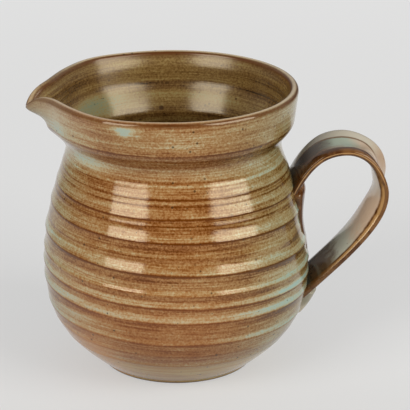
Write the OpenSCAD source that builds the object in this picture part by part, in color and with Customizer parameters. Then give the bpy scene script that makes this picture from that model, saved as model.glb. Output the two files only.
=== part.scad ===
// Wheel-thrown cream jug: round belly, narrow neck, upright collar,
// pulled pouring lip and a pulled strap handle luted to the wall.
// The origin is the centre of the flat foot. The handle is towards +X.

/* [Thrown body] */
// Diameter of the flat foot
foot_d = 54; // [42:1:62]
// Diameter of the belly at its widest
belly_d = 92.5; // [84:0.5:104]
// Diameter of the neck at its narrowest
neck_d = 74.5; // [66:0.5:80]
// Diameter of the collar at its lower edge
collar_d = 83.6; // [78:0.2:92]
// Diameter of the rim, outside
rim_d = 87; // [80:0.5:96]
// Height of the widest point above the foot
belly_h = 36; // [28:1:44]
// Height of the neck above the widest point
shoulder_h = 43; // [36:1:52]
// Height of the collar's lower edge above the neck
flare_h = 9; // [6:0.5:12]
// Height of the rim above the collar's lower edge
collar_h = 12; // [8:0.5:18]
// Thickness of the thrown wall, measured level
wall_t = 3.8; // [2.8:0.1:5]
// Thickness of the floor
floor_t = 5; // [3:0.5:8]
// Radius of the flat part of the floor, inside
floor_r = 18; // [12:1:20]
// Rounding of the rim's two edges
rim_round = 1.3; // [0.6:0.1:1.35]

/* [Throwing rings] */
// Depth of the finger ridges on the outside
ring_depth = 0.5; // [0:0.1:0.8]
// Spacing of the finger ridges
ring_pitch = 6.4; // [5:0.2:9]

/* [Pouring lip] */
// How far the lip's tip stands out past the rim
lip_reach = 9.5; // [4:0.5:13]
// How far the tip dips below the rim
lip_dip = 4; // [0:0.5:6]
// Turn of the lip away from straight across from the handle, in degrees
lip_turn = 3.5; // [-10:0.5:10]

/* [Strap handle] */
// Width of the strap
strap_w = 21; // [14:0.5:26]
// Thickness of the strap
strap_t = 3.4; // [2.6:0.1:5]
// Depth of the thumb groove along the strap's outer face
groove_depth = 0.5; // [0:0.1:0.8]
// How far the strap stands out past the belly
handle_reach = 28.5; // [22:0.5:36]
// How far out past the belly the handle's crest lies
crest_reach = 12; // [8:0.5:16]
// Height of the upper root's middle on the wall
upper_root_h = 62; // [58:0.5:66]
// Height of the handle's crest above the upper root
crest_rise = 18; // [12:0.5:22]
// Height of the strap's outermost point above the foot
bend_h = 63; // [58:0.5:68]
// Height of the lower root's middle on the wall
lower_root_h = 24.5; // [22:0.5:30]
// Roll of the strap at its outermost point, in degrees
strap_roll = 5; // [0:1:12]
// How far the strap's middle is cupped in towards the finger at its outermost point
strap_cup = 2.6; // [0:0.2:3.2]

/* [Lutes] */
// Thickness of the clay that fills the corner under the upper root
upper_lute_t = 3.4; // [2:0.2:5]
// Width of the upper lute where it meets the strap
upper_lute_w = 19; // [12:0.5:20]
// Length of the upper lute, measured down the wall
upper_lute_l = 26; // [16:1:30]
// Thickness of the upper lute's smeared tail
tail_t = 0.8; // [0.6:0.1:1.4]
// Width of the upper lute's smeared tail
tail_w = 6; // [3:0.5:10]
// Thickness of the flap under the lower root
lower_lute_t = 2.6; // [1.6:0.2:4]
// Width of the lower lute where it meets the strap
lower_lute_w = 15; // [10:0.5:17]
// Length of the lower lute, measured up the wall
lower_lute_l = 9; // [8:0.5:14]
// Width of the flap's free end
flap_w = 9; // [4:0.5:14]
// Thickness of the flap's free end
flap_t = 1.2; // [0.6:0.1:2]

/* [Hidden] */
$fn = 180;

foot_r = foot_d / 2;
belly_r = belly_d / 2;
neck_r = neck_d / 2;
collar_r = collar_d / 2;
rim_r = rim_d / 2;
neck_z = belly_h + shoulder_h;
collar_z = neck_z + flare_h;
rim_z = collar_z + collar_h;

// Reach of the curves' control points, along the wall's own direction
foot_angle = 38;
foot_pull = 19;
belly_pull_down = 16;
belly_pull_up = 22;
neck_pull = 6;
flare_pull = 4.5;
collar_pull = 3.4;
collar_tuck = 1;

// Points along each stretch of the outlines
lower_steps = 24;
shoulder_steps = 30;
inside_steps = 9;
flare_steps = 6;
round_steps = 4;

// How far a cut runs past the face that it opens
past = 8;
// How far inside the collar's own faces the lip begins
sink = 0.4;

function bezier(a, b, c, d, t) =
    a * pow(1 - t, 3) + b * 3 * t * pow(1 - t, 2) + c * 3 * t * t * (1 - t) + d * pow(t, 3);
function curve(a, b, c, d, steps) = [for (i = [0 : steps - 1]) bezier(a, b, c, d, i / steps)];
function quarter(centre, radius, from, to, steps) =
    [for (i = [0 : steps]) let (a = from + (to - from) * i / steps)
        centre + radius * [cos(a), sin(a)]];

// Outline of the outside from foot to neck, then from neck to rim
outer_low = concat(
    curve(
        [foot_r, 0],
        [foot_r + foot_pull * cos(foot_angle), foot_pull * sin(foot_angle)],
        [belly_r, belly_h - belly_pull_down],
        [belly_r, belly_h],
        lower_steps),
    curve(
        [belly_r, belly_h],
        [belly_r, belly_h + belly_pull_up],
        [neck_r, neck_z - neck_pull],
        [neck_r, neck_z],
        shoulder_steps));
outer_high = concat(
    curve(
        [neck_r, neck_z],
        [neck_r, neck_z + flare_pull],
        [collar_r - collar_tuck, collar_z - collar_pull],
        [collar_r, collar_z],
        flare_steps),
    [[collar_r, collar_z]],
    quarter([rim_r - rim_round, rim_z - rim_round], rim_round, 0, 90, round_steps));

// Outline of the inside, at the wall's thickness from the outside
inner_low = concat(
    curve(
        [floor_r, floor_t],
        [floor_r + foot_pull * cos(foot_angle), floor_t],
        [belly_r - wall_t, belly_h - belly_pull_down],
        [belly_r - wall_t, belly_h],
        inside_steps),
    curve(
        [belly_r - wall_t, belly_h],
        [belly_r - wall_t, belly_h + belly_pull_up],
        [neck_r - wall_t, neck_z - neck_pull],
        [neck_r - wall_t, neck_z],
        inside_steps));
inner_flare = concat(
    curve(
        [neck_r - wall_t, neck_z],
        [neck_r - wall_t, neck_z + flare_pull],
        [collar_r - collar_tuck - wall_t, collar_z - collar_pull],
        [collar_r - wall_t, collar_z],
        flare_steps),
    [[collar_r - wall_t, collar_z]]);
inner_high = concat(
    inner_flare,
    quarter([rim_r - wall_t + rim_round, rim_z - rim_round], rim_round, 180, 90, round_steps));

// Finger ridges fade out towards the foot and the neck
function fade(z) = pow(sin(180 * z / neck_z), 2);
function ring(z) = ring_depth * fade(z) * cos(360 * z / ring_pitch);
outer_ringed = [for (p = outer_low) [p[0] + ring(p[1]), p[1]]];
wall_table = [for (p = concat(outer_low, outer_high)) [p[1], p[0]]];
function wall_at(z) = lookup(z, wall_table);

// A solid skinned over a row of closed loops with equal point counts.
// Each end is closed by a fan of triangles from its loop's last point.
module skin(loops) {
    count = len(loops[0]);
    last = len(loops) - 1;
    sides = [for (j = [0 : last - 1], i = [0 : count - 1])
        let (a = j * count + i, b = j * count + (i + 1) % count)
        each [[a, a + count, b], [b, a + count, b + count]]];
    first_end = [for (i = [0 : count - 3]) [count - 1, i, i + 1]];
    last_end = [for (f = first_end) [for (k = [2 : -1 : 0]) last * count + f[k]]];
    polyhedron([for (l = loops) each l], concat(sides, first_end, last_end));
}

// Pouring lip: its plan is near to two tangents from the rim to a rounded tip.
// Nose, spread, margin and dip are angles about the jug's axis.
lip_nose = 3;
lip_spread = acos(rim_r / (rim_r + lip_reach)) + lip_nose;
lip_margin = 6;
lip_half = lip_spread + lip_margin;
lip_steps = 22;
lip_pinch = 1.2;
lip_curl = 1.6;
dip_half = 6;

function lip_push(a) =
    let (gap = max(0, lip_spread - sqrt(a * a + lip_nose * lip_nose)))
    lip_reach * pow((rim_r / cos(gap) - rim_r) / lip_reach, lip_pinch);
function lip_sag(a) = lip_dip * exp(-pow(a / dip_half, 2));
function lip_share(z) = pow(max(0, z - neck_z) / (rim_z - neck_z), lip_curl);

// One upright slice of the lip at an angle from its middle line
function lip_slice(run, a, top) =
    let (
        face = [for (p = run) [
            p[0] + lip_push(a) * lip_share(p[1]) - sink,
            p[1] - (lip_sag(a) + sink) * lip_share(p[1])]],
        crown = face[len(face) - 1],
        back = neck_r - wall_t - past,
        high = crown[1] + top,
        riser = top > 0 ? [[crown[0], high]] : [],
        loop = concat([[back, run[0][1]]], face, riser, [[back, high]]))
    [for (p = loop) [-p[0] * cos(a), -p[0] * sin(a), p[1]]];

module lip_form(run, top) {
    rotate([0, 0, lip_turn])
        skin([for (i = [0 : lip_steps])
            lip_slice(run, lip_half * (1 - 2 * i / lip_steps), top)]);
}

module body_outside() {
    rotate_extrude()
        polygon(concat([[0, 0]], outer_ringed, outer_high, [[0, rim_z]]));
}

module body_inside() {
    crown = inner_high[len(inner_high) - 1];
    rotate_extrude()
        polygon(concat(
            [[0, floor_t]], inner_low, inner_high,
            [[crown[0], rim_z + past], [0, rim_z + past]]));
}

module thrown_body() {
    color("tan")
        difference() {
            union() {
                body_outside();
                lip_form(outer_high, 0);
            }
            body_inside();
            lip_form(concat(inner_flare, [[rim_r - wall_t, rim_z - rim_round]]), past * 2);
        }
}

// Middle line of the strap in the handle's upright plane
crest_x = belly_r + crest_reach;
crest_z = upper_root_h + crest_rise - strap_t / 2;
reach_x = belly_r + handle_reach - strap_t / 2;
upper_x = wall_at(upper_root_h) - strap_t;
lower_x = wall_at(lower_root_h) - strap_t;
rise_pull = 10.5;
rise_angle = 65;
crest_pull = 7.5;
bend_pull = 7;
fall_pull = 10;
landing_pull = 27;
landing_angle = 43;
strap_steps = 14;

strap_line = concat(
    curve(
        [upper_x, upper_root_h],
        [upper_x + rise_pull * cos(rise_angle), upper_root_h + rise_pull * sin(rise_angle)],
        [crest_x - crest_pull, crest_z],
        [crest_x, crest_z],
        strap_steps),
    curve(
        [crest_x, crest_z],
        [crest_x + crest_pull, crest_z],
        [reach_x, bend_h + bend_pull],
        [reach_x, bend_h],
        strap_steps),
    curve(
        [reach_x, bend_h],
        [reach_x, bend_h - fall_pull],
        [lower_x + landing_pull * cos(landing_angle), lower_root_h + landing_pull * sin(landing_angle)],
        [lower_x, lower_root_h],
        strap_steps),
    [[lower_x, lower_root_h]]);

// Flat oval section with a shallow groove along its outer face
section_points = 16;
edge_power = 0.8;
face_power = 0.6;
function signed_power(v, p) = sign(v) * pow(abs(v), p);
strap_section = [for (i = [0 : section_points - 1])
    let (a = 360 * i / section_points)
    [
        strap_w / 2 * signed_power(cos(a), edge_power),
        strap_t / 2 * signed_power(sin(a), face_power) - groove_depth * pow(max(0, sin(a)), 3)]];

// A section set square to the strap's line at one of its points
function strap_loop(i) =
    let (
        last = len(strap_line) - 1,
        ahead = strap_line[min(i + 1, last)] - strap_line[max(i - 1, 0)],
        along = ahead / norm(ahead),
        out = [-along[1], along[0]],
        outness = max(0, strap_line[i][0] - crest_x) / (reach_x - crest_x),
        roll = strap_roll * outness * outness,
        cup = strap_cup * outness * outness)
    [for (p = strap_section)
        let (
            dished = p[1] - cup * (1 - pow(2 * p[0] / strap_w, 2)),
            side = p[0] * cos(roll) - dished * sin(roll),
            lift = p[0] * sin(roll) + dished * cos(roll))
        [strap_line[i][0] + out[0] * lift, side, strap_line[i][1] + out[1] * lift]];

module strap_form() {
    skin([for (i = [0 : len(strap_line) - 1]) strap_loop(i)]);
}

module strap_handle() {
    color("rosybrown")
        difference() {
            strap_form();
            body_outside();
        }
}

// A pad of clay on the wall: lens sections that follow the wall up.
// Its sides sit lower than its middle, as the strap meets a wall that curves away.
pad_points = 12;
pad_steps = 10;
pad_bury = 2;
upper_swell = 2;
lower_swell = 0.5;
lute_lap = 0.8;
function pad_loop(z, width, thick, climb) =
    [for (i = [0 : pad_points - 1])
        let (
            a = -360 * i / pad_points,
            wall = wall_at(z),
            r = wall + (sin(a) > 0 ? thick : pad_bury) * sin(a),
            turn = asin(width / 2 / wall) * cos(a))
        [r * cos(turn), r * sin(turn), z - climb * wall * (1 - cos(turn))]];

// The pad runs from a thin low end to a thick high end of [height, width, thickness]
module pad(low, high, swell, climb) {
    skin([for (i = [0 : pad_steps])
        let (
            t = i / pad_steps,
            size = low + (high - low) * pow(t, swell))
        pad_loop(low[0] + (high[0] - low[0]) * t, size[1], size[2], climb * t)]);
}

// The upper lute's high end stops short of where the strap's middle line leaves the wall
module upper_lute() {
    lean = (wall_at(upper_root_h) - wall_at(upper_root_h + strap_t)) / strap_t;
    climb = 1 / (1 / tan(rise_angle) + lean);
    top_z = upper_root_h + strap_t * climb - lute_lap;
    color("cadetblue")
        difference() {
            pad(
                [top_z - upper_lute_l, tail_w, tail_t],
                [top_z, upper_lute_w, upper_lute_t],
                upper_swell, climb);
            strap_form();
            body_outside();
        }
}

// The lower lute's high end lies on the strap's middle line, covered by the strap's root
module lower_lute() {
    climb = tan(landing_angle);
    top_z = lower_root_h + (strap_t + lower_lute_t / 2) * climb;
    color("lightsteelblue")
        difference() {
            pad(
                [top_z - lower_lute_l, flap_w, flap_t],
                [top_z, lower_lute_w, lower_lute_t],
                lower_swell, climb);
            strap_form();
            body_outside();
        }
}

thrown_body();
strap_handle();
upper_lute();
lower_lute();
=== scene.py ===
# Looks of a wheel-thrown cream jug in streaked glaze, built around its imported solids.
import math

import bpy
import numpy as np
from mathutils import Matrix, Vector


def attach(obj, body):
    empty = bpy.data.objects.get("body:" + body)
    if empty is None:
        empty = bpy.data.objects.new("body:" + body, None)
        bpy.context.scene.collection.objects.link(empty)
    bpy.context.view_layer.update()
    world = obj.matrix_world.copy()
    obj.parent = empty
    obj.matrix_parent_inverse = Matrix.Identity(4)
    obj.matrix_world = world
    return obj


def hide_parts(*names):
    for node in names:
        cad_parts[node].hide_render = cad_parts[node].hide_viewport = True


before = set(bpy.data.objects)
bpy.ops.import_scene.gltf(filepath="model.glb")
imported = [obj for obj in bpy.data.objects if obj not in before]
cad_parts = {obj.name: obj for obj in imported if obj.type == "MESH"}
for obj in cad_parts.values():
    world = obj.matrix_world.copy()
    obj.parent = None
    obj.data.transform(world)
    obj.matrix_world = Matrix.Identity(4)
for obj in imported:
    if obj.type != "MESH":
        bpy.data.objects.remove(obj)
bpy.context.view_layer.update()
MM = 0.001

# Thrown wall, in millimetres
FOOT_R = 27.0
FOOT_ROUND = 0.9
BELLY_R = 46.1
BELLY_H = 36.0
NECK_R = 37.2
NECK_H = 79.0
COLLAR_R = 41.8
COLLAR_H = 88.0
RIM_R = 43.4
RIM_H = 99.9
RIM_T = 3.0
RIM_CROWN = 1.6
WALL_T = 3.8
FLOOR_T = 5.0
FLOOR_R = 18.0
FOOT_ANGLE = 38.0
FOOT_PULL = 19.0
BELLY_PULL_DOWN = 16.0
BELLY_PULL_UP = 22.0
NECK_PULL = 6.0
FLARE_PULL = 4.5
COLLAR_PULL = 3.4
COLLAR_TUCK = 1.0

# How finely the wall is drawn, and how sharply its outside is told from its inside
OUTER_STEP = 0.38
INNER_STEP = 1.4
TURN_STEPS = 208
CURVE_POINTS = 60
FOOT_POINTS = 6
CROWN_POINTS = 14
FLAT_POINTS = 8
MERGE_WITHIN = 0.01
WALL_BLEND = 0.6

# Inside of the collar: its seat and its turn, moved from the wall's own knots, and for each of its
# three curves how far it is pulled out of its start and into its end
SEAT_MOVE = (0.4, 0.6)
TURN_MOVE = (-1.4, -3.2)
COLLAR_PULLS = [
    ((0.3, 1.6), (0.7, 1.3)),
    ((0.3, 1.0), (0.1, 1.4)),
    ((0.12, 0.8), (0.6, 1.2)),
]

# The wall leans a little towards the lip as it rises, and the strap with it as far out as this
LEAN = 1.6
LEAN_END = (50, 60)

# The wall was pressed in a little where the handle's upper root is smeared down it:
# angle from the handle, height, half angle, half height, depth
PRESSED_IN = (-4, 52.0, 18, 9.0, 1.3)

# Pouring lip: reach and dip in millimetres, angles about the jug's axis in degrees
LIP_TURN = 3.5
LIP_REACH = 6.75
LIP_HALF = 10.0
LIP_POINT = 1.73
LIP_DIP = 5.1
DIP_HALF = 5.6
DIP_POINT = 1.42
LIP_SHOULDER = 1.3
SHOULDER_TURN = 55.0
SHOULDER_HALF = 15.0
LIP_ROOT = 0.22
LIP_ROOT_H = 88.0
LIP_CURL_H = 88.3
LIP_CURL = 0.83
LIP_SAG_H = 89.6
LIP_CROWDING = 0.55

# The jug is read from its front, the side that faces the camera
FRONT_ANGLE = -92.5

# Two finger spirals run from the neck to the foot, with one knot a turn where they pass the front:
# height, drop in a turn, depth and rise of the ledge, brown edge, pale pool, thin glaze below, its reach
LONG_SPIRAL = [
    (78.5, 2.2, 0.08, 1.6, 0.2, 0.3, 0.3, 2.0),
    (72.0, 2.4, 0.25, 3.0, 0.8, 0.1, 0.5, 2.0),
    (65.8, 3.0, 0.40, 4.0, 1.0, 0.15, 0.7, 4.0),
    (58.2, 5.0, 0.45, 3.6, 1.0, 0.25, 0.9, 7.0),
    (47.5, 10.5, 0.70, 3.8, 1.0, 0.7, 0.6, 3.5),
    (36.0, 9.0, 0.45, 2.4, 0.9, 0.8, 0.8, 2.2),
    (22.0, 5.0, 0.30, 2.0, 0.6, 0.7, 0.9, 8.0),
    (12.0, 0.0, 0.20, 1.4, 0.5, 0.0, 0.0, 1.0),
    (2.0, 0.0, 0.00, 1.0, 0.0, 0.0, 0.0, 1.0),
]
SHORT_SPIRAL = [
    (81.5, 1.8, 0.00, 1.4, 0.0, 0.2, 0.0, 2.0),
    (75.4, 2.2, 0.10, 1.4, 0.3, 0.6, 0.4, 2.0),
    (70.0, 2.6, 0.15, 1.4, 0.6, 0.2, 0.4, 2.0),
    (63.6, 3.4, 0.12, 1.2, 0.4, 0.1, 0.6, 2.0),
    (53.0, 7.0, 0.06, 2.0, 0.1, 0.1, 0.5, 3.0),
    (40.6, 9.5, 0.55, 1.7, 0.4, 0.5, 0.7, 2.4),
    (30.6, 7.5, 0.45, 3.0, 0.7, 1.0, 0.9, 5.0),
    (17.0, 4.0, 0.10, 1.6, 0.3, 0.1, 0.5, 3.0),
    (6.0, 0.0, 0.00, 1.0, 0.0, 0.0, 0.0, 1.0),
]
EDGE_FALL = 1.8
EDGE_DROP = 0.05
EDGE_WIDTH = 0.28

# Heights above a ledge between which its pool starts, and shares of its rise between which the pool ends
POOL_START = (0.1, 0.8)
POOL_END = (0.5, 1.25)

# The same for the thin glaze below a ledge, with shares of its reach
THIN_START = (0.2, -0.4)
THIN_END = (0.5, 1.3)

# Heights between which the finger marks die out in the neck
MARKS_END = (80, 84)

# Thickness of the glaze, near 0 where it breaks brown and near 1 where it pools pale
COAT_PLAIN = 0.42
COAT_POOL = 0.24
COAT_COOL_POOL = 0.3
COAT_EDGE = 0.55
COAT_THIN = 0.15

# How cool the glaze is on the right and left, and the angles from the front between which it changes
COOL_RIGHT = 0.95
COOL_LEFT = 0.65
COOL_TO_RIGHT = (4, 64)
COOL_TO_LEFT = (-35, -80)
COOL_TO_BACK = (-110, -170)

# Tan above the foot on the left, a painted warm reflection of the floor: its share, and the heights and
# angles between which it comes and goes
FOOT_TAN = 0.55
TAN_H = (26, 13)
TAN_START = (-20, -45)
TAN_END = (-150, -100)

# Heights between which the bare clay of the foot ends
BARE_H = (0.3, 0.9)

# Brown line under the collar's edge, and the thin glaze and painted shade in the hollow below it
COLLAR_EDGE = 0.9
COLLAR_EDGE_DROP = 0.3
COLLAR_EDGE_HALF = 0.42
HOLLOW_START = (81.5, 83.5)
HOLLOW_END = (86.6, 87.4)

# Rim, in shares of its half thickness: rust on its shoulders and a painted highlight, pale, on its
# crest, and where
# that painted highlight is lost: angle from the front, half angle, loss
CROWN_BLEND = 0.2
RIM_RUST_AT = 0.8
RIM_RUST_HALF = 0.3
RIM_HIGHLIGHT_SPAN = (0.5, 0.25)
RIM_HIGHLIGHT_LOSS = [(5, 35, 0.5), (-102, 20, 0.85)]

# The glaze's level lines fall with the spirals: height, drop in a turn, and how much of it they follow
LAY_DROPS = [(0, 0), (12, 0), (23, 5), (48, 10.5), (58, 5), (72, 2.4), (85, 0)]
LAY_SHARE = 0.19

# Fine level lines in the glaze: height, half width, change, and how much they waver round the jug
HAIR_WAVER = 0.25
GLAZE_HAIRS = [
    (98.2, 0.3, -0.14),
    (95.4, 0.3, 0.06),
    (93.4, 0.3, -0.06),
    (91.5, 0.4, 0.16),
    (90.1, 0.3, -0.08),
    (89.0, 0.4, -0.14),
    (85.2, 0.5, -0.08),
    (80.6, 0.9, 0.12),
    (77.2, 0.5, -0.12),
    (74.2, 0.5, -0.12),
    (68.7, 0.4, 0.10),
    (67.2, 0.3, -0.14),
    (61.9, 0.3, -0.12),
    (56.2, 0.3, -0.08),
    (54.4, 0.4, 0.07),
    (45.3, 0.2, -0.24),
    (43.2, 0.2, -0.18),
    (39.0, 0.6, -0.10),
    (27.2, 0.4, 0.08),
    (24.7, 0.25, -0.16),
    (18.0, 0.6, -0.10),
    (15.0, 0.7, -0.10),
]

# Patches where the glaze ran thicker or thinner:
# angle from the front, height, half angle, half height, change
GLAZE_PATCHES = [
    # Left side
    (-68, 94.0, 22, 5.0, 0.12),
    (-68, 89.4, 14, 2.0, 0.45),
    (-48, 88.4, 16, 1.4, 0.12),
    (-48, 82.8, 16, 2.4, 0.17),
    (-50, 80.4, 18, 3.0, 0.26),
    (-47, 75.5, 13, 2.8, -0.20),
    (-48, 66.5, 14, 1.5, -0.12),
    (-48, 53.5, 16, 2.2, 0.08),
    (-48, 49.3, 16, 1.4, -0.24),
    (-48, 45.0, 16, 1.0, 0.14),
    (-48, 41.3, 16, 1.2, 0.16),
    (-57, 34.0, 12, 1.2, 0.34),
    (-48, 31.3, 16, 1.6, -0.34),
    (-48, 28.3, 16, 1.2, 0.22),
    (-55, 26.0, 18, 3.0, 0.16),
    (-48, 22.0, 16, 1.6, -0.20),
    (-48, 16.0, 20, 7.0, 0.20),
    # Front
    (-21, 97.0, 5.5, 1.2, 0.70),
    (-21, 95.6, 2.5, 1.2, 0.45),
    (2, 84.0, 24, 2.0, 0.08),
    (2, 76.0, 24, 1.5, 0.10),
    # Painted highlight: paler glaze where the left lamp's highlight falls
    (-26, 70.5, 9, 3.0, 0.10),
    (2, 70.0, 24, 1.5, -0.06),
    (2, 66.0, 24, 8.0, -0.13),
    (26, 62.0, 12, 16.0, -0.06),
    (2, 58.0, 24, 1.6, -0.10),
    (2, 54.0, 24, 2.0, 0.09),
    (2, 49.0, 24, 1.6, -0.08),
    (2, 37.0, 24, 1.0, -0.10),
    (2, 35.5, 24, 2.5, -0.07),
    (2, 23.5, 24, 1.2, -0.13),
    (2, 15.5, 24, 3.0, 0.13),
    # Right side
    (52, 91.5, 26, 3.0, -0.10),
    (52, 88.0, 14, 1.5, 0.14),
    (56, 76.5, 26, 3.0, 0.10),
    (52, 71.5, 14, 1.2, -0.14),
    (52, 65.5, 14, 1.5, -0.12),
    (52, 61.2, 14, 1.4, 0.14),
    (77, 55.0, 3.5, 5.0, 0.50),
    (54, 53.0, 16, 1.8, 0.30),
    # Darker glaze beside the upper lute, partly painted shadow of the handle and the lute
    (66, 49.0, 9, 6.0, -0.22),
    (52, 46.3, 14, 1.5, -0.40),
    (52, 43.3, 14, 1.0, 0.12),
    (82, 42.5, 6, 2.0, 0.20),
    (54, 41.8, 16, 1.8, 0.26),
    (56, 35.4, 16, 1.0, 0.14),
    (48, 31.6, 16, 1.0, 0.20),
    (52, 28.2, 14, 1.5, -0.34),
    (52, 24.0, 14, 1.6, 0.20),
    (50, 18.0, 24, 4.0, 0.26),
    # All across the front
    (0, 93.0, 90, 4.0, 0.07),
    (0, 68.0, 90, 10.0, 0.05),
]

# Pale blush on the outside of the lip, as a patch
LIP_BLUSH = (-72, 94.5, 22, 4.5, 0.45)

# Lining of the throat: a pale patch near the lip, and level lines
THROAT_POOL = (-126, 85.0, 24, 5.0, 0.38)
LINING_HAIRS = [
    (97.0, 0.6, 0.08),
    (93.0, 1.6, -0.10),
    (88.8, 1.0, -0.26),
    (84.0, 1.6, 0.10),
    (78.5, 1.4, -0.24),
]

# A crumb of clay caught in the lining, in metres
CRUMB_AT = (-0.0039, 0.0340, 0.0808)
CRUMB_R = 0.0011

# Strap handle, in millimetres and degrees
STRAP_W = 21.0
STRAP_T = 3.2
STRAP_GROOVE = 1.0
STRAP_SQUARE = 0.55
STRAP_BURY = 1.8
HANDLE_REACH = 28.4
CREST_REACH = 12.0
UPPER_ROOT_H = 62.0
CREST_RISE = 17.8
BEND_H = 63.0
LOWER_ROOT_H = 24.5
RISE_PULL, RISE_ANGLE = 10.5, 65.0
CREST_PULL = 7.5
BEND_PULL, FALL_PULL = 7.0, 10.0
LANDING_PULL, LANDING_ANGLE = 27.0, 43.0
STRAP_ROLL = 6.0
STRAP_TURN_IN = 2.4
STRAP_CUP = 2.8
NEAR_DROP = 0.8
FAR_SWELL = 0.6
STRAP_STEPS = 64
SECTION_POINTS = 56

# Where the strap's section changes, from 0 at its upper root to 1 at its lower
CUP_START = (0.42, 0.62)
CUP_END = (0.76, 0.94)
GROOVE_START = (0.15, 0.36)
ROLL_AT, ROLL_HALF = 0.6, 0.13
TURN_IN_AT, TURN_IN_HALF = 0.79, 0.1
NEAR_DROP_AT, NEAR_DROP_HALF = 0.33, 0.16
FAR_SWELL_AT, FAR_SWELL_HALF = 0.52, 0.09

# Lutes, in millimetres at the low and the high end, with how late they thicken and how full they are
UPPER_LUTE = {
    "heights": (39.0, 65.2),
    "widths": (12.0, 23.0),
    "depths": (0.4, 4.8),
    "late": 2.2,
    "full": 0.45,
}
LOWER_LUTE = {
    "heights": (15.0, 25.2),
    "widths": (9.0, 13.0),
    "depths": (1.8, 4.7),
    "late": 0.7,
    "full": 0.5,
}
PAD_BURY = 1.2
PAD_PLUMP = 1.6
PAD_SEGMENTS = 64
PAD_RINGS = 48

# Camera and studio, in metres
CAMERA_AT = Vector((-0.0305, -0.6993, 0.3153))
CAMERA_AIM = Vector((0.0098, -0.0004, 0.0559))
CAMERA_LENS = 188.0
CAMERA_SENSOR = 36.0
SEEN_RAYS = ("Is Camera Ray", "Is Glossy Ray", "Is Transmission Ray")

# Soft lamps: name, angle to the right of the front, rise, width, height, power
LAMPS = [
    ("left_soft_lamp", -46.5, 26.0, 0.56, 0.58, 6.5),
    ("right_soft_lamp", 54.0, 26.0, 0.66, 0.58, 7.475),
]
LAMP_AIM = Vector((0, 0, 0.06))
LAMP_DISTANCE = 0.9
LAMP_COLOUR = (1.0, 0.97, 0.92)

# Glow of the floor where it is seen, and the distances between which it grows to the back and fades out
FLOOR_SIZE = 8.0
FLOOR_ROUGH = 0.9
NEAR_GLOW, NEAR_GLOW_SPAN = 0.40, (-0.3, 0.02)
BACK_GLOW, BACK_GLOW_SPAN = 0.24, (-0.1, 1.0)
BACK_FADE = (1.0, 0.56)
SIDE_FADE = (0.5, 0.2)

# Strength of the room as a light, and as it is seen before and behind the jug
ROOM_LIGHT = 0.36
ROOM_FRONT = 0.08
ROOM_BACK = 0.4
ROOM_BEHIND = (-0.5, 0.4)
ROOM_ABOVE = (0.0, 0.35)


def smooth(low, high, x):
    """0 below low, 1 above high, with an eased step between."""
    t = np.clip((x - low) / (high - low), 0, 1)
    return t * t * (3 - 2 * t)


def swell(x, half):
    """1 at x = 0, falling to nothing a little past half."""
    return np.exp(-((x / half) ** 2))


def bezier(a, b, c, d, t):
    """Points of one curve piece at the parameters t."""
    a, b, c, d = (np.asarray(p, float) for p in (a, b, c, d))
    t = np.asarray(t)[:, None]
    return a * (1 - t) ** 3 + b * 3 * t * (1 - t) ** 2 + c * 3 * t * t * (1 - t) + d * t**3


def heading(angle):
    """One step across and up, in a direction given in degrees."""
    return np.array([math.cos(math.radians(angle)), math.sin(math.radians(angle))])


def even(points, step):
    """The same line with its points about one step apart."""
    run = np.concatenate([[0], np.cumsum(np.hypot(*np.diff(points, axis=0).T))])
    at = np.linspace(0, run[-1], max(2, round(run[-1] / step) + 1))
    return np.stack([np.interp(at, run, points[:, k]) for k in (0, 1)], axis=1)


# Outlines of the thrown wall

CURVE_AT = np.linspace(0, 1, CURVE_POINTS)


def lower_wall(foot, foot_pull, inset):
    """Outline from the foot up to the neck, moved in from the outside by inset."""
    belly, neck = BELLY_R - inset, NECK_R - inset
    low = bezier(foot, foot + foot_pull, (belly, BELLY_H - BELLY_PULL_DOWN), (belly, BELLY_H), CURVE_AT)
    high = bezier(
        (belly, BELLY_H),
        (belly, BELLY_H + BELLY_PULL_UP),
        (neck, NECK_H - NECK_PULL),
        (neck, NECK_H),
        CURVE_AT,
    )
    return np.concatenate([low, high[1:]])


def outer_collar():
    """Outline from the neck up the outside of the collar, to where the rim starts to round."""
    flare = bezier(
        (NECK_R, NECK_H),
        (NECK_R, NECK_H + FLARE_PULL),
        (COLLAR_R - COLLAR_TUCK, COLLAR_H - COLLAR_PULL),
        (COLLAR_R, COLLAR_H),
        CURVE_AT,
    )
    return np.concatenate([flare[1:], [(RIM_R, RIM_H - RIM_CROWN)]])


def inner_collar():
    """The same inside: a plain cone from the throat, an upright wall, then a flare to the rim."""
    throat = np.array([NECK_R - WALL_T, NECK_H])
    seat = np.array([COLLAR_R - WALL_T, COLLAR_H]) + SEAT_MOVE
    rim = np.array([RIM_R - RIM_T, RIM_H - RIM_CROWN])
    knots = [throat, seat, rim + TURN_MOVE, rim]
    curves = [
        bezier(start, start + leave, end - arrive, end, CURVE_AT)[1:]
        for start, end, (leave, arrive) in zip(knots, knots[1:], COLLAR_PULLS)
    ]
    return np.concatenate(curves)


FOOT_RUN = FOOT_PULL * heading(FOOT_ANGLE)
OUTSIDE = np.concatenate([lower_wall(np.array([FOOT_R, FOOT_ROUND]), FOOT_RUN, 0), outer_collar()])
FLOOR_RUN = FOOT_RUN * (1, 0)
INSIDE = np.concatenate([lower_wall(np.array([FLOOR_R, FLOOR_T]), FLOOR_RUN, WALL_T), inner_collar()])


def outside_r(z):
    """Radius of the plain outside at a height."""
    return np.interp(z, OUTSIDE[:, 1], OUTSIDE[:, 0])


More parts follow.
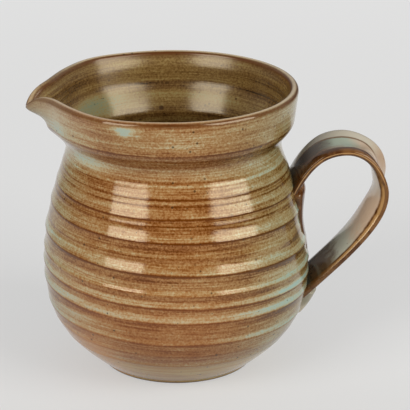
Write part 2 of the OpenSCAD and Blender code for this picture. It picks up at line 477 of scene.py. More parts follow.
def body_outline():
    """Half section from the axis under the foot, over the rim and down to the axis on the floor."""
    turn = np.linspace(-math.pi / 2, 0, FOOT_POINTS)
    foot = np.stack([np.cos(turn), 1 + np.sin(turn)], axis=1) * FOOT_ROUND + (FOOT_R - FOOT_ROUND, 0)
    base = np.linspace((0, 0), foot[0], FLAT_POINTS)
    over = np.linspace(0, math.pi, CROWN_POINTS)
    middle = (RIM_R - RIM_T / 2, RIM_H - RIM_CROWN)
    crown = np.stack([np.cos(over) * RIM_T / 2, np.sin(over) * RIM_CROWN], axis=1) + middle
    inner = even(INSIDE, INNER_STEP)[::-1]
    floor = np.linspace(inner[-1], (0, FLOOR_T), FLAT_POINTS)
    parts = [base[:-1], foot[:-1], even(OUTSIDE, OUTER_STEP)[:-1], crown[:-1], inner[:-1], floor]
    return np.concatenate(parts)


# Mesh tools

def deselect():
    """Back to object mode, with nothing selected."""
    if bpy.context.object and bpy.context.object.mode != "OBJECT":
        bpy.ops.object.mode_set(mode="OBJECT")
    bpy.ops.object.select_all(action="DESELECT")


def spun(name, points, steps):
    """A closed turned piece: a line of vertices drawn by extrusion, then spun about the axis."""
    deselect()
    bpy.ops.mesh.primitive_plane_add(size=MM)
    piece = bpy.context.object
    piece.name = name
    bpy.ops.object.mode_set(mode="EDIT")
    bpy.ops.mesh.merge(type="CENTER")
    steps_along = np.diff(points, axis=0, prepend=[(0, 0)]) * MM
    bpy.ops.transform.translate(value=(steps_along[0][0], 0, steps_along[0][1]))
    for across, up in steps_along[1:]:
        bpy.ops.mesh.extrude_region_move(TRANSFORM_OT_translate={"value": (across, 0, up)})
    bpy.ops.mesh.select_all(action="SELECT")
    bpy.ops.mesh.spin(steps=steps, angle=2 * math.pi, center=(0, 0, 0), axis=(0, 0, 1))
    bpy.ops.mesh.select_all(action="SELECT")
    bpy.ops.mesh.remove_doubles(threshold=MERGE_WITHIN * MM)
    bpy.ops.mesh.normals_make_consistent(inside=False)
    bpy.ops.object.mode_set(mode="OBJECT")
    bpy.ops.object.shade_smooth()
    return piece


def places(piece):
    """Vertex places in millimetres, one row each."""
    flat = np.empty(len(piece.data.vertices) * 3)
    piece.data.vertices.foreach_get("co", flat)
    return flat.reshape(-1, 3) / MM


def move_to(piece, points):
    """Puts each vertex at its place in millimetres."""
    piece.data.vertices.foreach_set("co", (np.asarray(points) * MM).ravel())
    piece.data.update()


def paint(piece, name, values):
    """Keeps one number a vertex for the glaze to read."""
    layer = piece.data.attributes.new(name, "FLOAT", "POINT")
    layer.data.foreach_set("value", np.asarray(values, np.float32))


def wrap(angle):
    """An angle in degrees, brought to -180 to 180."""
    return (angle + 180) % 360 - 180


def lean(z):
    """How far the wall leans towards the lip at a height."""
    return LEAN * (z / RIM_H) ** 2


def patch(angle, z, spot):
    """A soft oval patch on the wall, strongest in its middle."""
    turn, height, half_turn, half_height, strength = spot
    return strength * swell(wrap(angle - turn), half_turn) * swell(z - height, half_height)


# Finger spirals on the outside

def spiral_heights(knots, turn):
    """Height of a spiral at each turn count, smooth through its knots."""
    height, drop = knots[:, 0], knots[:, 1]
    k = np.clip(np.floor(turn).astype(int), 0, len(knots) - 2)
    t = turn - k
    ease = t * t * (3 - 2 * t)
    start = -drop[k] * t * (1 - t) ** 2
    end = drop[k + 1] * t * t * (1 - t)
    return height[k] * (1 - ease) + height[k + 1] * ease + start + end


def finger_marks(theta, z):
    """Relief of both spirals in millimetres, and where the glaze breaks, pools and runs thin."""
    relief, edge, pool, thin = (np.zeros_like(z) for _ in range(4))
    for table in (LONG_SPIRAL, SHORT_SPIRAL):
        knots = np.array(table)
        for lap in range(1, len(knots) - 1):
            turn = lap + theta / 360
            depth, rise, brown, pale, bare, reach = (
                np.interp(turn, np.arange(len(knots)), knots[:, k]) for k in range(2, 8))
            above = z - spiral_heights(knots, turn)
            ledge = np.clip(1 - above / rise, 0, 1) * (above >= 0)
            relief += depth * (ledge + np.exp(np.minimum(above, 0) / EDGE_FALL) * (above < 0))
            edge += brown * swell(above + EDGE_DROP, EDGE_WIDTH)
            pool += pale * smooth(*POOL_START, above) * (1 - smooth(*POOL_END, above / rise))
            thin += bare * smooth(*THIN_START, above) * (1 - smooth(*THIN_END, -above / reach))
    return relief, np.clip(edge, 0, 1), np.clip(pool, 0, 1), np.clip(thin, 0, 1)


# Thrown body

def lip_shift(angle, z):
    """How far the lip pushes the wall out and lets it sag, at an angle from the lip's middle."""
    beak = LIP_REACH * np.exp(-((np.abs(angle) / LIP_HALF) ** LIP_POINT))
    beak = beak + LIP_SHOULDER * swell(np.abs(angle) - SHOULDER_TURN, SHOULDER_HALF)
    sag = LIP_DIP * np.exp(-((np.abs(angle) / DIP_HALF) ** DIP_POINT))
    root = LIP_ROOT * smooth(NECK_H, LIP_ROOT_H, z)
    out = root + (1 - LIP_ROOT) * smooth(LIP_CURL_H, RIM_H, z) ** LIP_CURL
    down = root + (1 - LIP_ROOT) * smooth(LIP_SAG_H, RIM_H, z)
    return beak * out, sag * down


def crowded(angle):
    """Angles about the axis, drawn closer together near the lip, where the wall bends most."""
    from_lip = np.radians(wrap(angle - 180 - LIP_TURN))
    return np.degrees(from_lip - LIP_CROWDING * np.sin(from_lip))


def glaze_coat(theta, z, lay, edge, pool, thin):
    """Thickness of the glaze on the outside, and how cool it is there."""
    left = COOL_LEFT * smooth(*COOL_TO_LEFT, theta)
    left = left + (COOL_RIGHT - COOL_LEFT) * smooth(*COOL_TO_BACK, theta)
    cool = np.where(theta > 0, COOL_RIGHT * smooth(*COOL_TO_RIGHT, theta), left)
    coat = COAT_PLAIN + pool * (COAT_POOL + COAT_COOL_POOL * cool) - COAT_EDGE * edge - COAT_THIN * thin
    for height, half, change in GLAZE_HAIRS:
        waver = 1 - HAIR_WAVER + HAIR_WAVER * np.sin(np.radians(2 * theta) + height)
        coat = coat + change * waver * swell(lay - height, half)
    for spot in GLAZE_PATCHES:
        coat = coat + patch(theta, z, spot)
    return coat, cool


def lining_coat(theta, z):
    """Thickness of the glaze inside."""
    coat = COAT_PLAIN + patch(theta, z, THROAT_POOL)
    for height, half, change in LINING_HAIRS:
        coat = coat + change * swell(z - height, half)
    return coat


def rim_glaze(theta, r, z):
    """Where the glaze on the rim is rust, and where its crest is painted pale as a highlight."""
    start = RIM_H - RIM_CROWN
    on_crown = smooth(start - CROWN_BLEND, start + CROWN_BLEND, z)
    from_crest = np.abs(r - RIM_R + RIM_T / 2) / (RIM_T / 2)
    pale = on_crown * smooth(*RIM_HIGHLIGHT_SPAN, from_crest)
    for turn, half, loss in RIM_HIGHLIGHT_LOSS:
        pale = pale * (1 - loss * swell(wrap(theta - turn), half))
    return on_crown * swell(from_crest - RIM_RUST_AT, RIM_RUST_HALF), pale


def thrown_body():
    """The wall is spun plain, then given its finger marks, lip, pressed place and lean, and painted."""
    piece = spun("glazed_thrown_body", body_outline(), TURN_STEPS)
    x, y, z = places(piece).T
    r = np.hypot(x, y)
    from_lip = crowded(np.degrees(np.arctan2(y, x)))
    angle = from_lip + 180 + LIP_TURN
    theta = wrap(angle - FRONT_ANGLE)
    wall_middle = outside_r(z) - WALL_T / 2
    outer = smooth(-WALL_BLEND, WALL_BLEND, (r - wall_middle) / (WALL_T / 2)) * (z > FOOT_ROUND / 2)
    on_wall = outer * (1 - smooth(*MARKS_END, z))
    relief, edge, pool, thin = (mark * on_wall for mark in finger_marks(theta, z))
    push, sag = lip_shift(from_lip, z)
    out = r + relief + push - patch(angle, z, PRESSED_IN) * outer
    turned = np.radians(angle)
    move_to(piece, np.stack([out * np.cos(turned) - lean(z), out * np.sin(turned), z - sag], axis=1))

    lay = z + LAY_SHARE * np.interp(z, *zip(*LAY_DROPS)) * np.sin(np.radians(theta))
    collar_edge = COLLAR_EDGE * swell(z - COLLAR_H + COLLAR_EDGE_DROP, COLLAR_EDGE_HALF)
    # The hollow under the collar is painted darker: thin glaze, and painted shade under the collar's
    # overhang
    hollow = smooth(*HOLLOW_START, z) * (1 - smooth(*HOLLOW_END, z))
    edge, thin = np.maximum(edge, collar_edge), np.maximum(thin, hollow)
    coat, cool = glaze_coat(theta, z, lay, edge, pool, thin)
    # pale: the painted highlight on the rim's crest
    rust, pale = rim_glaze(theta, r, z)
    on_left = smooth(*TAN_START, theta) * smooth(*TAN_END, theta)
    paint(piece, "lay", lay)
    paint(piece, "coat", coat * outer + lining_coat(theta, z) * (1 - outer))
    paint(piece, "cool", cool)
    # crest: the painted highlight on the rim's crest, and the lip's pale blush
    paint(piece, "crest", np.maximum(pale, patch(theta, z, LIP_BLUSH) * outer))
    paint(piece, "rust", rust)
    paint(piece, "inside", 1 - outer)
    # tan: a painted warm reflection of the floor, low on the left
    paint(piece, "tan", FOOT_TAN * smooth(*TAN_H, z) * on_left * outer)
    paint(piece, "bare", 1 - smooth(*BARE_H, z))
    return piece


# Strap handle

def strap_knots():
    """Middle line of the strap: each knot with the handles before and after it."""
    crest = np.array([BELLY_R + CREST_REACH, UPPER_ROOT_H + CREST_RISE - STRAP_T / 2])
    bend = np.array([BELLY_R + HANDLE_REACH - STRAP_T / 2, BEND_H])
    upper = np.array([outside_r(UPPER_ROOT_H) - STRAP_BURY, UPPER_ROOT_H])
    lower = np.array([outside_r(LOWER_ROOT_H) - STRAP_BURY, LOWER_ROOT_H])
    rise = RISE_PULL * heading(RISE_ANGLE)
    land = LANDING_PULL * heading(LANDING_ANGLE)
    level, upright = np.array([1, 0]), np.array([0, 1])
    return [
        (upper - rise, upper, upper + rise),
        (crest - CREST_PULL * level, crest, crest + CREST_PULL * level),
        (bend + BEND_PULL * upright, bend, bend - FALL_PULL * upright),
        (lower + land, lower, lower - land),
    ]


def strap_line():
    """The strap's middle line as close points, with the direction that faces out of the loop."""
    knots = strap_knots()
    at = np.linspace(0, 1, STRAP_STEPS, endpoint=False)
    pieces = [bezier(a[1], a[2], b[0], b[1], at) for a, b in zip(knots, knots[1:])]
    line = np.concatenate(pieces + [[knots[-1][1]]])
    along = np.gradient(line, axis=0)
    along /= np.linalg.norm(along, axis=1)[:, None]
    out = np.stack([-along[:, 1], along[:, 0]], axis=1)
    return line, out


def strap_section():
    """Flat oval with a shallow groove along its outer face: places across, places out and groove."""
    a = np.linspace(0, 2 * math.pi, SECTION_POINTS, endpoint=False)
    side = STRAP_W / 2 * np.sign(np.cos(a)) * np.abs(np.cos(a)) ** STRAP_SQUARE
    lift = STRAP_T / 2 * np.sign(np.sin(a)) * np.abs(np.sin(a)) ** STRAP_SQUARE
    return side, lift, STRAP_GROOVE * (np.sin(a) > 0) * (1 - (2 * side / STRAP_W) ** 2) ** 2


def strap_handle():
    """A disc is drawn out along the strap's line by extrusion, then each ring is set to its section."""
    line, out = strap_line()
    deselect()
    bpy.ops.mesh.primitive_circle_add(vertices=SECTION_POINTS, radius=STRAP_W / 2 * MM, fill_type="NGON")
    piece = bpy.context.object
    piece.name = "glazed_strap_handle"
    bpy.ops.object.mode_set(mode="EDIT")
    for _ in line[1:]:
        bpy.ops.mesh.extrude_region_move(TRANSFORM_OT_translate={"value": (0, 0, MM)})
    bpy.ops.object.mode_set(mode="OBJECT")
    x, y, z = places(piece).T
    ring = np.rint(z).astype(int)
    spoke = np.rint(np.arctan2(y, x) / (2 * math.pi / SECTION_POINTS)).astype(int) % SECTION_POINTS
    along = ring / (len(line) - 1)
    side, lift, groove = (part[spoke] for part in strap_section())
    far = side / STRAP_W + 0.5
    at_bend = smooth(*CUP_START, along) * (1 - smooth(*CUP_END, along))
    roll = np.radians(STRAP_ROLL * swell(along - ROLL_AT, ROLL_HALF))
    turn_in = math.sin(math.radians(STRAP_TURN_IN)) * swell(along - TURN_IN_AT, TURN_IN_HALF)
    cupped = lift - STRAP_CUP * at_bend * (1 - (side / (STRAP_W / 2)) ** 2)
    cupped = cupped - groove * smooth(*GROOVE_START, along)
    across = side * np.cos(roll) - cupped * np.sin(roll)
    height = side * np.sin(roll) + cupped * np.cos(roll) - (side + STRAP_W / 2) * turn_in
    height = height - NEAR_DROP * (1 - far) * swell(along - NEAR_DROP_AT, NEAR_DROP_HALF)
    height = height + FAR_SWELL * far * swell(along - FAR_SWELL_AT, FAR_SWELL_HALF)
    flat = line[ring] + out[ring] * height[:, None]
    shift = lean(flat[:, 1]) * (1 - smooth(*LEAN_END, flat[:, 0]))
    move_to(piece, np.stack([flat[:, 0] - shift, across, flat[:, 1]], axis=1))
    bpy.ops.object.mode_set(mode="EDIT")
    bpy.ops.mesh.select_all(action="SELECT")
    bpy.ops.mesh.normals_make_consistent(inside=False)
    bpy.ops.object.mode_set(mode="OBJECT")
    bpy.ops.object.shade_smooth()
    paint(piece, "along", along)
    paint(piece, "side", side / (STRAP_W / 2))
    paint(piece, "lift", lift / (STRAP_T / 2))
    return piece


# Lutes

def clay_pad(name, pad, smear):
    """A pad of clay smeared on the wall: a ball pressed flat, then laid round the wall."""
    deselect()
    bpy.ops.mesh.primitive_uv_sphere_add(segments=PAD_SEGMENTS, ring_count=PAD_RINGS, radius=MM)
    piece = bpy.context.object
    piece.name = name
    x, y, z = places(piece).T
    t = (z + 1) / 2
    grown = np.clip(t, 0, 1) ** pad["late"]
    height, width, depth = (
        low + (high - low) * share
        for (low, high), share in ((pad["heights"], t), (pad["widths"], t), (pad["depths"], grown))
    )
    fill = np.sqrt(np.maximum(1 - z * z, 1e-6))
    plump = np.minimum(1, fill * PAD_PLUMP) / fill
    swollen = np.sign(x) * np.clip(np.abs(x * plump), 0, 1) ** pad["full"]
    turn = y * plump * width / 2 / outside_r(height)
    wall = outside_r(height) - patch(np.degrees(turn), height, PRESSED_IN)
    r = wall + np.where(x > 0, depth, PAD_BURY) * swollen
    move_to(piece, np.stack([r * np.cos(turn) - lean(height), r * np.sin(turn), height], axis=1))
    bpy.ops.object.shade_smooth()
    paint(piece, "along", t)
    paint(piece, "side", y / fill)
    paint(piece, "smear", np.full(len(t), smear))
    return piece


def upper_lute():
    return clay_pad("glazed_upper_lute", UPPER_LUTE, 1.0)


def lower_lute():
    return clay_pad("glazed_lower_lute", LOWER_LUTE, 0.0)


# Shader values

class Value:
    """A socket in a node tree. Sums and products of values add Math nodes."""

    def __init__(self, nodes, socket):
        self.nodes = nodes
        self.socket = socket

    def _math(self, operation, first, second):
        return self.nodes.node("ShaderNodeMath", {"operation": operation}, {0: first, 1: second})

    def __add__(self, other):
        return self._math("ADD", self, other)

    def __radd__(self, other):
        return self._math("ADD", other, self)

    def __sub__(self, other):
        return self._math("SUBTRACT", self, other)

    def __rsub__(self, other):
        return self._math("SUBTRACT", other, self)

    def __mul__(self, other):
        return self._math("MULTIPLY", self, other)

    def __rmul__(self, other):
        return self._math("MULTIPLY", other, self)

    def most(self, other):
        return self._math("MAXIMUM", self, other)

    def step(self, low, high, top=1.0):
        """0 at low, top at high, eased between."""
        return self.nodes.node(
            "ShaderNodeMapRange", {"interpolation_type": "SMOOTHSTEP"},
            {"Value": self, "From Min": low, "From Max": high, "To Max": top})

    def band(self, start, full, fade, end):
        """1 between full and fade, 0 outside start and end."""
        return self.step(start, full) * self.step(end, fade)

    def out(self, name):
        """Another output of the same node."""
        return Value(self.nodes, self.socket.node.outputs[name])


def set_stops(ramp, stops):
    """Gives a colour ramp its stops, each a place and a colour."""
    while len(ramp) < len(stops):
        ramp.new(0.5)
    for made, (place, colour) in zip(ramp, stops):
        made.position = place
        made.color = colour


class Nodes:
    """A node tree, with short ways to add to it."""

    def __init__(self, tree):
        self.tree = tree

    def node(self, kind, settings, inputs, output=0):
        """Adds one node: its settings first, then the values or links of its sockets."""
        made = self.tree.nodes.new(kind)
        for key, value in settings.items():
            if key == "stops":
                set_stops(made.color_ramp.elements, value)
            else:
                setattr(made, key, value)
        for key, value in inputs.items():
            self.feed(made.inputs[key], value)
        return Value(self, made.outputs[output])

    def feed(self, socket, value):
        if isinstance(value, Value):
            self.tree.links.new(value.socket, socket)
        else:
            socket.default_value = value

    def parts(self, vector):
        """A vector's three parts."""
        made = self.node("ShaderNodeSeparateXYZ", {}, {0: vector})
        return made, made.out("Y"), made.out("Z")

    def between(self, share, low, high):
        """A number between two others."""
        return self.node("ShaderNodeMix", {"data_type": "FLOAT"}, {0: share, 2: low, 3: high})

    def seen(self):
        """1 for what is looked at, straight, in a mirror or through glass, and 0 for light."""
        path = self.node("ShaderNodeLightPath", {}, {})
        straight, mirrored, through = (path.out(name) for name in SEEN_RAYS)
        return straight.most(mirrored).most(through)


class Finish(Nodes):
    """One material, with short ways to make its patterns and colours."""

    def __init__(self, name):
        self.material = bpy.data.materials.new(name)
        self.material.use_nodes = True
        super().__init__(self.material.node_tree)
        self.shader = self.tree.nodes["Principled BSDF"]
        self.coords = self.node("ShaderNodeTexCoord", {}, {}, "Object")

    def painted(self, name):
        return self.node("ShaderNodeAttribute", {"attribute_name": name}, {}, "Fac")

    def mix(self, share, low, high):
        """A colour between two others."""
        return self.node("ShaderNodeMix", {"data_type": "RGBA"}, {0: share, 6: low, 7: high}, 2)

    def layers(self, colour, measure, rows):
        """Colours laid over one another along a value."""
        for start, full, share, over in rows:
            colour = self.mix(measure.step(start, full, share), colour, over)
        return colour

    def noise(self, vector, scale, detail, roughness):
        """A cloudy pattern, about even on both sides of 0."""
        return self.node(
            "ShaderNodeTexNoise", {},
            {"Vector": vector, "Scale": scale, "Detail": detail, "Roughness": roughness}) - 0.5

    def drawn(self, stretch, detail, roughness, height=None):
        """The same drawn out by three factors, along another height where one is given."""
        x, y, z = self.parts(self.coords)
        up = z if height is None else height
        vector = self.node(
            "ShaderNodeCombineXYZ", {}, {0: x * stretch[0], 1: y * stretch[1], 2: up * stretch[2]})
        return self.noise(vector, 1.0, detail, roughness)

    def ramp(self, value, colours):
        """Colours from thin glaze to thick, blended along a value."""
        stops = list(zip(THIN_TO_THICK, colours))
        return self.node("ShaderNodeValToRGB", {"stops": stops}, {0: value})

    def specks(self, scale, size):
        """Small dots, one to a cell of the pattern, 1 inside a dot."""
        cells = self.node("ShaderNodeTexVoronoi", {}, {"Vector": self.coords, "Scale": scale})
        return cells.step(size, size * SPECK_CORE)

    def ripple(self, height, strength):
        """Uneven gloss over a pattern."""
        return self.node(
            "ShaderNodeBump", {}, {"Height": height, "Strength": strength, "Distance": RIPPLE_DEPTH})

    def done(self, **sockets):
        """Feeds the shader's sockets, with _ for the spaces in their names."""
        for name, value in sockets.items():
            self.feed(self.shader.inputs[name.replace("_", " ")], value)
        return self.material


def blended(value, patterns, shares):
    """A value with its share of each pattern added."""
    for pattern, share in zip(patterns, shares):
        value = value + pattern * share
    return value


def srgb(red, green, blue):
    """A colour as it looks on screen, from 0 to 255, made linear."""
    def linear(v):
        v /= 255
        return v / 12.92 if v <= 0.04045 else ((v + 0.055) / 1.055) ** 2.4
    return (linear(red), linear(green), linear(blue), 1.0)


# Glaze colours from thin to thick, on the jug's warm side, on its cool side and inside it
THIN_TO_THICK = (0.0, 0.14, 0.28, 0.42, 0.56, 0.70, 0.84, 1.0)
WARM_GLAZE = (
    srgb(89, 42, 3),
    srgb(108, 61, 21),
    srgb(131, 85, 43),
    srgb(146, 106, 63),
    srgb(155, 126, 86),
    srgb(168, 149, 112),
    srgb(172, 165, 136),
    srgb(157, 170, 156),
)
COOL_GLAZE = (
    srgb(66, 42, 12),
    srgb(90, 63, 26),
    srgb(112, 89, 48),
    srgb(128, 111, 72),
    srgb(137, 127, 92),
    srgb(143, 143, 115),
    srgb(142, 156, 138),
    srgb(132, 161, 153),
)
LINING = (
    srgb(36, 20, 4),
    srgb(62, 40, 14),
    srgb(86, 60, 28),
    srgb(104, 79, 41),
    srgb(120, 97, 55),
    srgb(124, 111, 70),
    srgb(112, 113, 84),
    srgb(102, 113, 90),
)

# Colours of the rim, the foot, the specks, the strap, the lutes and the floor
# Painted highlight on the rim's crest
RIM_PAINTED_HIGHLIGHT = srgb(186, 168, 142)
RIM_RUST = srgb(80, 40, 8)
# Painted warm bounce light low on the warm side
LOW_PAINTED_WARMTH = srgb(164, 78, 18)
FOOT_BROWN = srgb(168, 122, 58)
FOOT_PALE = srgb(190, 166, 104)
# Painted warm reflection of the floor, low on the left
FOOT_WARM_REFLECTION = srgb(198, 132, 66)
SPECK_BROWN = srgb(52, 32, 14)
BASE_CLAY = srgb(60, 36, 28)
STRAP_BLUE = srgb(158, 170, 152)
STRAP_PINK = srgb(186, 164, 140)
STRAP_TAN = srgb(194, 170, 148)
STRAP_GREY = srgb(190, 178, 166)
STRAP_GREEN = srgb(190, 192, 178)
# Dark brown glaze at the strap's upper root, with painted shade where it meets the wall
STRAP_ROOT_BROWN_AND_SHADE = srgb(68, 46, 14)
# Painted shade on the strap's inner face near its lower root
STRAP_PAINTED_SHADE = srgb(104, 82, 58)
STRAP_LINE = srgb(104, 74, 44)
# Painted shadow where the strap's inner face meets the wall at its lower root
STRAP_PAINTED_SHADOW = srgb(44, 32, 18)
STRAP_RUST = srgb(132, 84, 44)
STRAP_EDGE = srgb(108, 72, 38)
STRAP_EDGE_DARK = srgb(72, 38, 10)
# Painted highlight: the gold glint on the strap's near edge
STRAP_GOLD_GLINT = srgb(194, 152, 100)
STRAP_PALE = srgb(186, 178, 160)
LUTE_OLIVE = srgb(128, 112, 84)
FLAP_CLAY = srgb(150, 146, 130)
FLOOR_PAPER = srgb(151, 152, 153)

# Gloss of every glaze
GLAZE_SHINE = {"IOR": 1.56, "Specular_Tint": (1.0, 0.9, 0.7, 1.0)}

# How rough the glaze is, and what its grain, the lining, the collar's lining and bare clay add to it
GLAZE_ROUGH = 0.1
GRAIN_ROUGH = 0.05
LINING_ROUGH = 0.09
COLLAR_ROUGH, COLLAR_ROUGH_H = 0.06, (86, 92)
CLAY_ROUGH = 0.5

# Ripple of the glaze: its depth in metres, the grain's part of it, and its strength
RIPPLE_DEPTH = 0.0002
GRAIN_RIPPLE = 0.2
BODY_RIPPLE = 0.15
STRAP_RIPPLE = 0.12

# Patterns in the glaze: stretch along x, y and z, detail, roughness
STREAKS = ((24, 24, 0.5), 3.0, 0.6)
HAIRS = ((40, 40, 2.4), 3.0, 0.7)
MOTTLE = ((150, 150, 520), 3.0, 0.6)
CLOUDS = ((45, 45, 45), 2.0, 0.5)
STRAP_CLOUDS = ((70, 30, 70), 2.0, 0.5)
LUTE_CLOUDS = ((90, 90, 40), 2.0, 0.5)

# Even patterns: scale, detail, roughness
BODY_GRAIN = (1400, 2.0, 0.6)
STRAP_GRAIN = (1100, 2.0, 0.6)
FINE_GRAIN = (300, 3.0, 0.6)

# Specks: scale of their cells, size in a cell, and the part of a pattern that they keep to
LARGE_SPECKS, LARGE_SPECKS_IN = (230, 0.12), (-0.15, 0.0)
SMALL_SPECKS, SMALL_SPECKS_IN = (520, 0.15), (0.0, 0.1)
STRAP_SPECKS, STRAP_SPECK_SHARE = (230, 0.09), 0.6
SPECK_SHARE = 0.8
SPECK_CORE = 0.6

# Shares of streaks, hairs, clouds, grain and mottle in the glaze, and of the first four in the lining
GLAZE_SHARES = (0.5, 1.0, 0.4, 0.85, 0.4)
LINING_SHARES = (0.4, 0.8, 0.5, 0.7)
RIM_SHARE = 0.9

# Painted warm bounce light low on the warm side: its share, and the heights between which it grows
LOW_WARMTH = 0.16
LOW_WARM_H = (48, 28)

# Wiped foot: how far streaks, hairs and clouds move its edge, in millimetres, its heights and its share,
# and the hairs and clouds that join the streaks in its colour
FOOT_SHARES = (6.0, 6.0, 3.0)
FOOT_EDGE_H = (14.0, 8.5)
FOOT_WIPED = 0.85
WIPED_SHARES = (1.0, 0.5)
WIPED_SPAN = (-0.25, 0.25)


def body_glaze():
    f = Finish("body_glaze")
    lay, coat, cool = f.painted("lay"), f.painted("coat"), f.painted("cool")
    inside, bare = f.painted("inside"), f.painted("bare")
    streaks, hairs = f.drawn(*STREAKS, lay), f.drawn(*HAIRS, lay)
    mottle, clouds = f.drawn(*MOTTLE), f.drawn(*CLOUDS)
    grain = f.noise(f.coords, *BODY_GRAIN)
    patterns = (streaks, hairs, clouds, grain, mottle)

    thick = blended(coat, patterns, GLAZE_SHARES)
    colour = f.mix(cool, f.ramp(thick, WARM_GLAZE), f.ramp(thick, COOL_GLAZE))
    # Painted warm bounce light on the lower belly
    colour = f.mix(lay.step(*LOW_WARM_H, LOW_WARMTH) * (1 - cool), colour, LOW_PAINTED_WARMTH)
    wiped = blended(streaks, (hairs, clouds), WIPED_SHARES).step(*WIPED_SPAN)
    foot = blended(lay, patterns, FOOT_SHARES).step(*FOOT_EDGE_H, FOOT_WIPED)
    colour = f.mix(foot, colour, f.mix(wiped, FOOT_BROWN, FOOT_PALE))
    # Painted warm reflection of the floor, low on the left
    colour = f.mix(f.painted("tan"), colour, FOOT_WARM_REFLECTION)
    colour = f.mix(inside, colour, f.ramp(blended(coat, patterns, LINING_SHARES), LINING))
    colour = f.mix(f.painted("rust") * (RIM_SHARE + clouds), colour, RIM_RUST)
    # Painted highlight on the rim's crest, and the lip's pale blush
    colour = f.mix(f.painted("crest") * (RIM_SHARE + clouds), colour, RIM_PAINTED_HIGHLIGHT)
    large = f.specks(*LARGE_SPECKS) * clouds.step(*LARGE_SPECKS_IN)
    small = f.specks(*SMALL_SPECKS) * mottle.step(*SMALL_SPECKS_IN)
    colour = f.mix(large.most(small) * SPECK_SHARE, colour, SPECK_BROWN)
    from_crumb = f.node(
        "ShaderNodeVectorMath", {"operation": "DISTANCE"}, {0: f.coords, 1: CRUMB_AT}, "Value")
    colour = f.mix(from_crumb.step(CRUMB_R, CRUMB_R / 2, SPECK_SHARE), colour, SPECK_BROWN)
    colour = f.mix(bare, colour, BASE_CLAY)

    rough = GLAZE_ROUGH + grain * GRAIN_ROUGH + bare * CLAY_ROUGH
    rough = rough + inside * (LINING_ROUGH + lay.step(*COLLAR_ROUGH_H, COLLAR_ROUGH))
    ripple = f.ripple(hairs + grain * GRAIN_RIPPLE, BODY_RIPPLE)
    return f.done(Base_Color=colour, Roughness=rough, Normal=ripple, **GLAZE_SHINE)


# Shares of clouds and fine grain in the strap's glaze, along the strap and across it
RUN_SHARES = (0.14, 0.06)
WANDER_SHARE = 0.08

# Glaze on the strap, along it or across it: start, full, share, colour
OUTER_RISE = [(0.2, 0.3, 1.0, STRAP_BLUE), (0.36, 0.44, 1.0, STRAP_PINK)]
OUTER_ACROSS = [(0.2, 0.28, 1.0, STRAP_LINE), (0.32, 0.4, 1.0, STRAP_PALE)]
OUTER_FALL = [(0.44, 0.55, 0.6, STRAP_PINK), (0.47, 0.57, 0.4, STRAP_RUST)]
OUTER_NEAR = [(-0.62, -0.74, 1.0, STRAP_EDGE_DARK)]
# The last two bands are painted shade and a painted shadow, where the strap's inner face meets the wall
INNER_FALL = [
    (0.66, 0.74, 1.0, STRAP_TAN),
    (0.83, 0.88, 1.0, STRAP_GREEN),
    (0.905, 0.95, 1.0, STRAP_PAINTED_SHADE),
    (0.955, 0.985, 1.0, STRAP_PAINTED_SHADOW),
]
INNER_ACROSS = [(0.74, 0.82, 1.0, STRAP_RUST), (0.84, 0.9, 1.0, STRAP_PALE)]

# Rust along the near side of the outer face: where across, its share on the rise, and where it grows
RUST_SIDE = (-0.35, -0.75)
RUST_RISE = 0.4
RUST_FALL = (0.46, 0.54)

# Near edge of the strap, with a painted highlight: a gold glint line that runs at its corner, then along
# its middle
FACES_MEET = (-0.2, 0.2)
EDGE_SIDE = (-0.8, -0.88)
EDGE_SPAN = (-0.15, 0.15)
CREASE_SHARE = 0.12
GLINT_SHARE = 0.65
GLINT_CORNER = (-0.1, 0.02, 0.08, 0.2)
GLINT_MIDDLE = (-0.78, -0.64, -0.5, -0.36)
GLINT_CROSSES = (0.58, 0.66)
GLINT_ENDS = (0.98, 0.9)


def handle_glaze():
    f = Finish("handle_glaze")
    along, side, lift = f.painted("along"), f.painted("side"), f.painted("lift")
    clouds = f.drawn(*STRAP_CLOUDS)
    fine, grain = f.noise(f.coords, *FINE_GRAIN), f.noise(f.coords, *STRAP_GRAIN)
    run = blended(along, (clouds, fine), RUN_SHARES)
    wander = side + fine * WANDER_SHARE

    # The outer face starts from dark brown glaze with painted shade at the upper root
    outer = f.layers(STRAP_ROOT_BROWN_AND_SHADE, run, OUTER_RISE)
    rusted = (side + clouds + fine).step(*RUST_SIDE) * (RUST_RISE + run.step(*RUST_FALL))
    outer = f.mix(rusted, outer, STRAP_RUST)
    outer = f.layers(outer, wander, OUTER_ACROSS)
    outer = f.layers(outer, run, OUTER_FALL)
    outer = f.layers(outer, wander, OUTER_NEAR)
    # The inner face ends in painted shade and a painted shadow at the lower root
    inner = f.layers(STRAP_GREY, run, INNER_FALL)
    inner = f.layers(inner, wander, INNER_ACROSS)
    colour = f.mix(lift.step(*FACES_MEET), inner, outer)

    # Painted highlight: a gold glint line at the near edge's corner on the rise, and along its middle on
    # the fall
    crease = lift + fine * CREASE_SHARE
    falling = run.step(*GLINT_CROSSES)
    corner = crease.band(*GLINT_CORNER) * (1 - falling)
    middle = crease.band(*GLINT_MIDDLE) * falling * run.step(*GLINT_ENDS)
    edge = f.mix((clouds + fine).step(*EDGE_SPAN), STRAP_EDGE_DARK, STRAP_EDGE)
    edge = f.mix(corner.most(middle) * GLINT_SHARE, edge, STRAP_GOLD_GLINT)
    colour = f.mix(wander.step(*EDGE_SIDE), colour, edge)
    colour = f.mix(f.specks(*STRAP_SPECKS) * STRAP_SPECK_SHARE, colour, SPECK_BROWN)
    ripple = f.ripple(fine + grain * GRAIN_RIPPLE, STRAP_RIPPLE)
    rough = GLAZE_ROUGH + grain * GRAIN_ROUGH
    return f.done(Base_Color=colour, Roughness=rough, Normal=ripple, **GLAZE_SHINE)


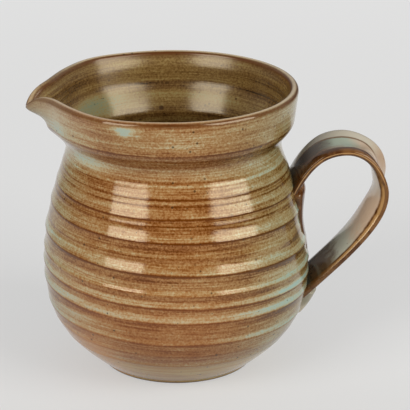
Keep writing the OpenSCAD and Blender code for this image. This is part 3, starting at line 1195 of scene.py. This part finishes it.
# Lutes: shares of clouds and fine grain across, of clouds along, and of fine grain along the flap
RUB_SHARES = (0.2, 0.1)
RISEN_SHARE = 0.2
FLAP_SHARE = 0.1

# Where the smear's near edge is brown, where that broadens at its top, and where the flap's colours meet
BROWN_SPAN = (-0.1, 0.1)
BROWN_SIDE = (-0.72, -0.55)
BROWN_TOP = (0.7, 0.95)
FLAP_MEETS = (0.3, 0.6)


def lute_glaze():
    f = Finish("lute_glaze")
    along, side, smear = f.painted("along"), f.painted("side"), f.painted("smear")
    clouds, fine = f.drawn(*LUTE_CLOUDS), f.noise(f.coords, *FINE_GRAIN)
    rub = blended(side, (clouds, fine), RUB_SHARES)
    top = (along + clouds * RISEN_SHARE).step(*BROWN_TOP)
    brown = f.mix((clouds + fine).step(*BROWN_SPAN), STRAP_EDGE_DARK, STRAP_EDGE)
    smeared = f.mix((rub - top).step(*BROWN_SIDE), brown, LUTE_OLIVE)
    flap = f.mix((along + fine * FLAP_SHARE).step(*FLAP_MEETS), STRAP_PALE, FLAP_CLAY)
    colour = f.mix(smear, flap, smeared)
    return f.done(
        Base_Color=colour, Roughness=GLAZE_ROUGH, Normal=f.ripple(fine, STRAP_RIPPLE), **GLAZE_SHINE)


# Studio

def studio_floor():
    """A sheet of grey paper that glows a little where it is seen, more so behind the jug."""
    deselect()
    bpy.ops.mesh.primitive_plane_add(size=FLOOR_SIZE)
    piece = bpy.context.object
    piece.name = "floor"
    f = Finish("floor_paper")
    across, depth, _ = f.parts(f.coords)
    glow = depth.step(*NEAR_GLOW_SPAN, NEAR_GLOW) + depth.step(*BACK_GLOW_SPAN, BACK_GLOW)
    glow = f.seen() * glow * depth.step(*BACK_FADE) * across.most(across * -1).step(*SIDE_FADE)
    colour = f.node("ShaderNodeCombineColor", {}, {0: glow, 1: glow, 2: glow})
    finish = f.done(
        Base_Color=FLOOR_PAPER, Roughness=FLOOR_ROUGH, Emission_Color=colour, Emission_Strength=1.0)
    piece.data.materials.append(finish)


def lamp(name, azimuth, elevation, width, height, power):
    """A rectangular soft lamp that faces the jug, placed by its direction from it."""
    a, e = math.radians(azimuth), math.radians(elevation)
    away = Vector((math.sin(a) * math.cos(e), -math.cos(a) * math.cos(e), math.sin(e)))
    deselect()
    bpy.ops.object.light_add(type="AREA", location=LAMP_AIM + away * LAMP_DISTANCE)
    made = bpy.context.object
    made.name = name
    made.data.shape = "RECTANGLE"
    made.data.size = width
    made.data.size_y = height
    made.data.energy = power
    made.data.color = LAMP_COLOUR
    made.rotation_euler = away.to_track_quat("Z", "Y").to_euler()


def room():
    """Pale backdrop behind the jug and a dimmer room in front, with a level of its own as a light."""
    made = bpy.data.worlds.new("studio")
    bpy.context.scene.world = made
    made.use_nodes = True
    n = Nodes(made.node_tree)
    way = n.node("ShaderNodeTexCoord", {}, {}, "Generated")
    _, depth, up = n.parts(way)
    backdrop = n.between(depth.step(*ROOM_BEHIND) * up.step(*ROOM_ABOVE), ROOM_FRONT, ROOM_BACK)
    sky = n.tree.nodes["Background"].inputs
    n.feed(sky["Color"], (1, 1, 1, 1))
    n.feed(sky["Strength"], n.between(n.seen(), ROOM_LIGHT, backdrop))


def camera():
    bpy.ops.object.camera_add(location=CAMERA_AT)
    made = bpy.context.object
    made.name = "photo_camera"
    made.rotation_euler = (CAMERA_AIM - CAMERA_AT).to_track_quat("-Z", "Y").to_euler()
    made.data.lens = CAMERA_LENS
    made.data.sensor_width = CAMERA_SENSOR
    bpy.context.scene.camera = made


PIECES = [
    (thrown_body, body_glaze, "thrown_body", "body_glaze"),
    (strap_handle, handle_glaze, "strap_handle", "handle_glaze"),
    (upper_lute, lute_glaze, "upper_lute", "lute_glaze"),
    (lower_lute, lute_glaze, "lower_lute", "lute_glaze"),
]
finishes = {}
for make, finish, node, slot in PIECES:
    piece = make()
    if slot not in finishes:
        finishes[slot] = finish()
    piece.data.materials.append(finishes[slot])
    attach(piece, "root")
    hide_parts(node)

studio_floor()
for placed in LAMPS:
    lamp(*placed)
room()
camera()
bpy.context.scene.view_settings.view_transform = "Standard"
